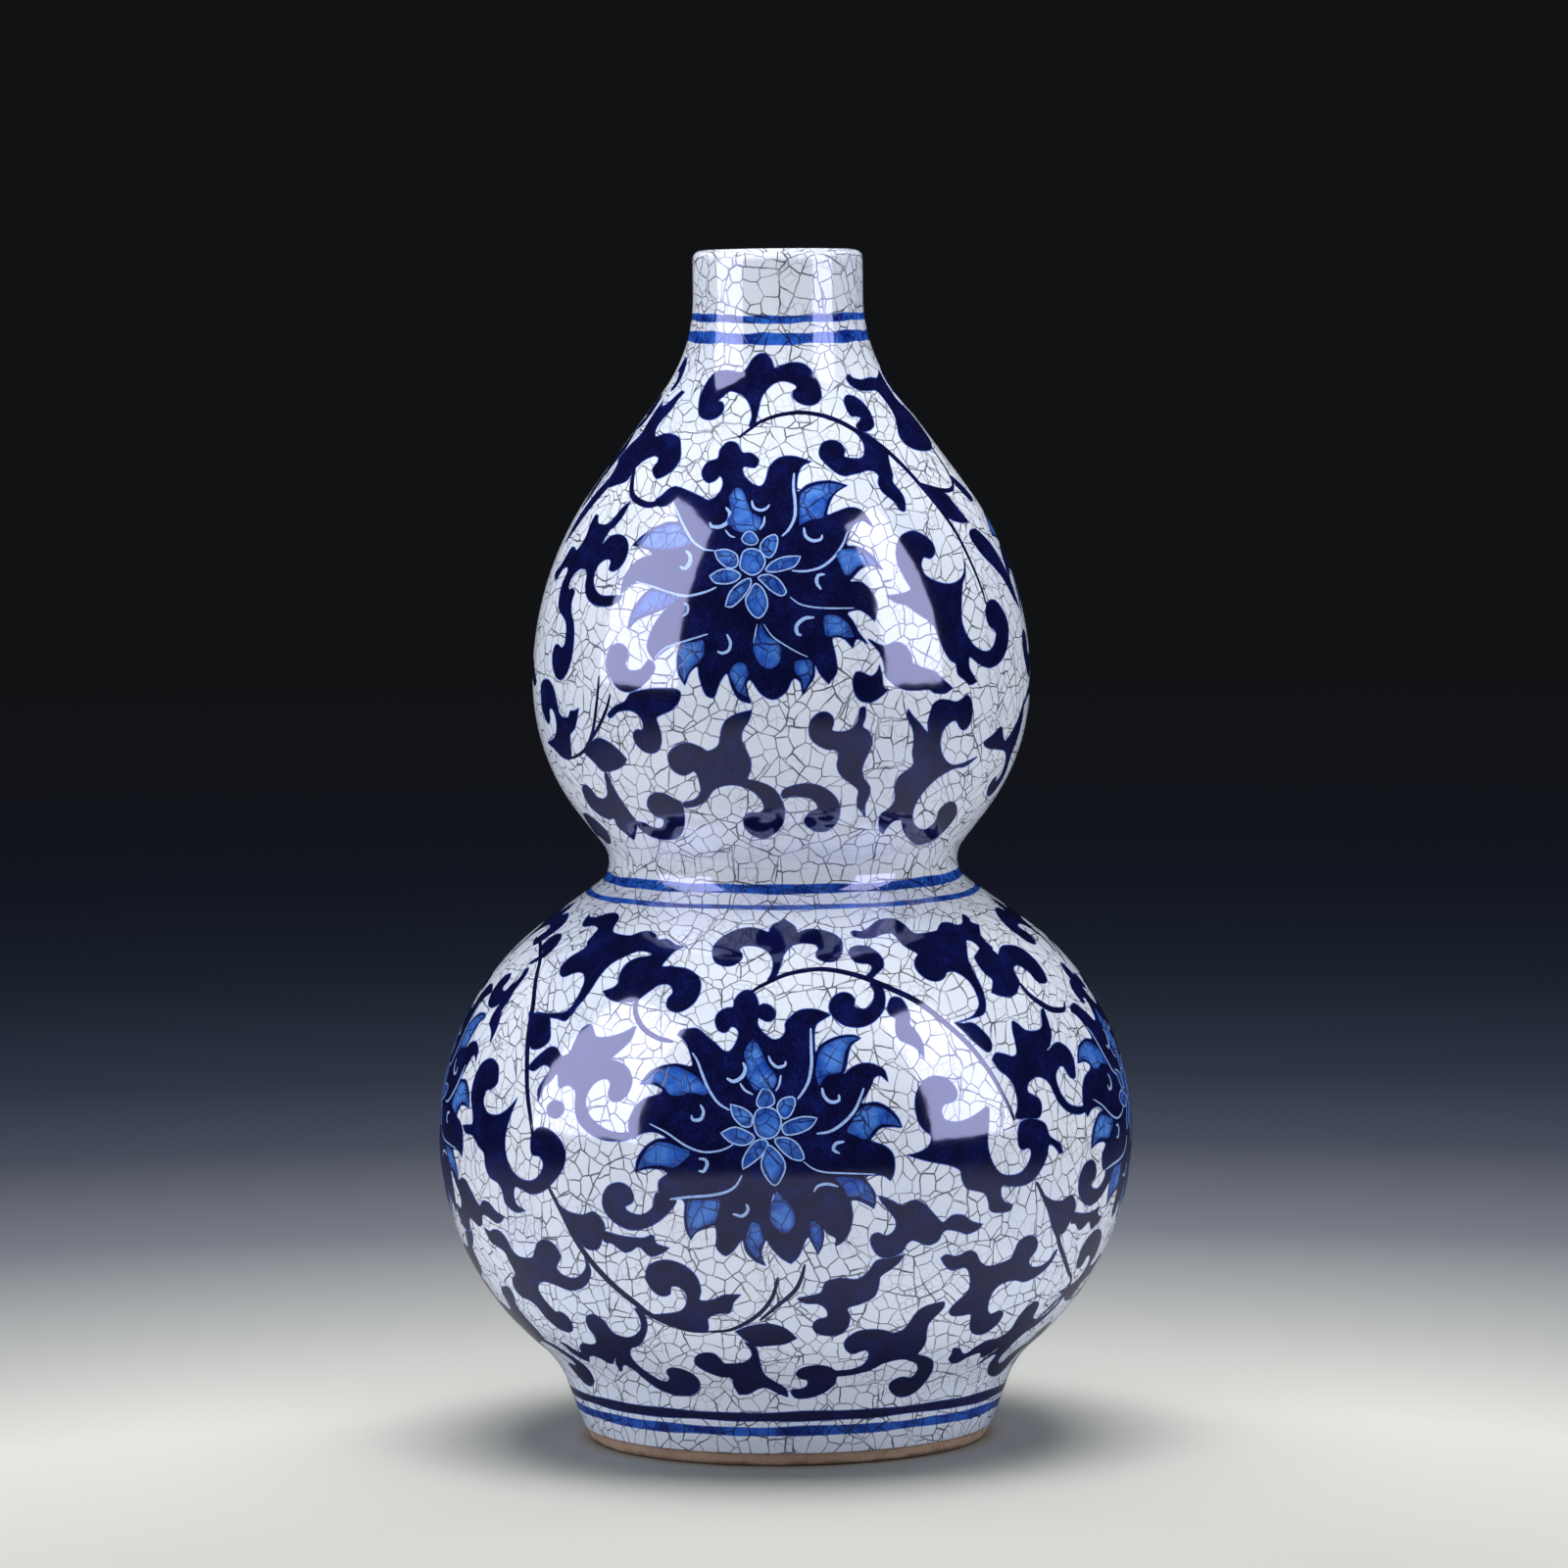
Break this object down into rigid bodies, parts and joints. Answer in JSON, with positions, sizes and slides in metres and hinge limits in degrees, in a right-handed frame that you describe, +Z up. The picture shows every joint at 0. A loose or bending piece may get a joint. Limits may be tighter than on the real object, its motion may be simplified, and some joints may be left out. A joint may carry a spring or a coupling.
{
  "type": "double gourd vase",
  "caption": "Double gourd vase with a short cylindrical neck and a turned foot ring, thrown in sections, luted with slip and glazed inside and out.",
  "frame": {"origin": "on the vase's axis at the underside of the foot ring", "axes": "+Z up along the axis to the mouth, the face in the picture towards -Y, +X to the picture's right"},
  "size_m": [0.1754, 0.1754, 0.3],
  "materials": {
    "stoneware": "matt, unglazed where it shows at the foot",
    "slip": "matt",
    "glaze": "gloss, crackled"
  },
  "bodies": {
    "root": {"base_bowl": "stoneware", "lower_dome": "stoneware", "upper_bowl": "stoneware", "upper_dome": "stoneware", "neck_collar": "stoneware", "lower_equator_slip": "slip", "waist_slip": "slip", "upper_equator_slip": "slip", "neck_slip": "slip", "inner_glaze": "glaze", "outer_glaze": "glaze", "base_glaze": "glaze"}
  },
  "joints": []
}
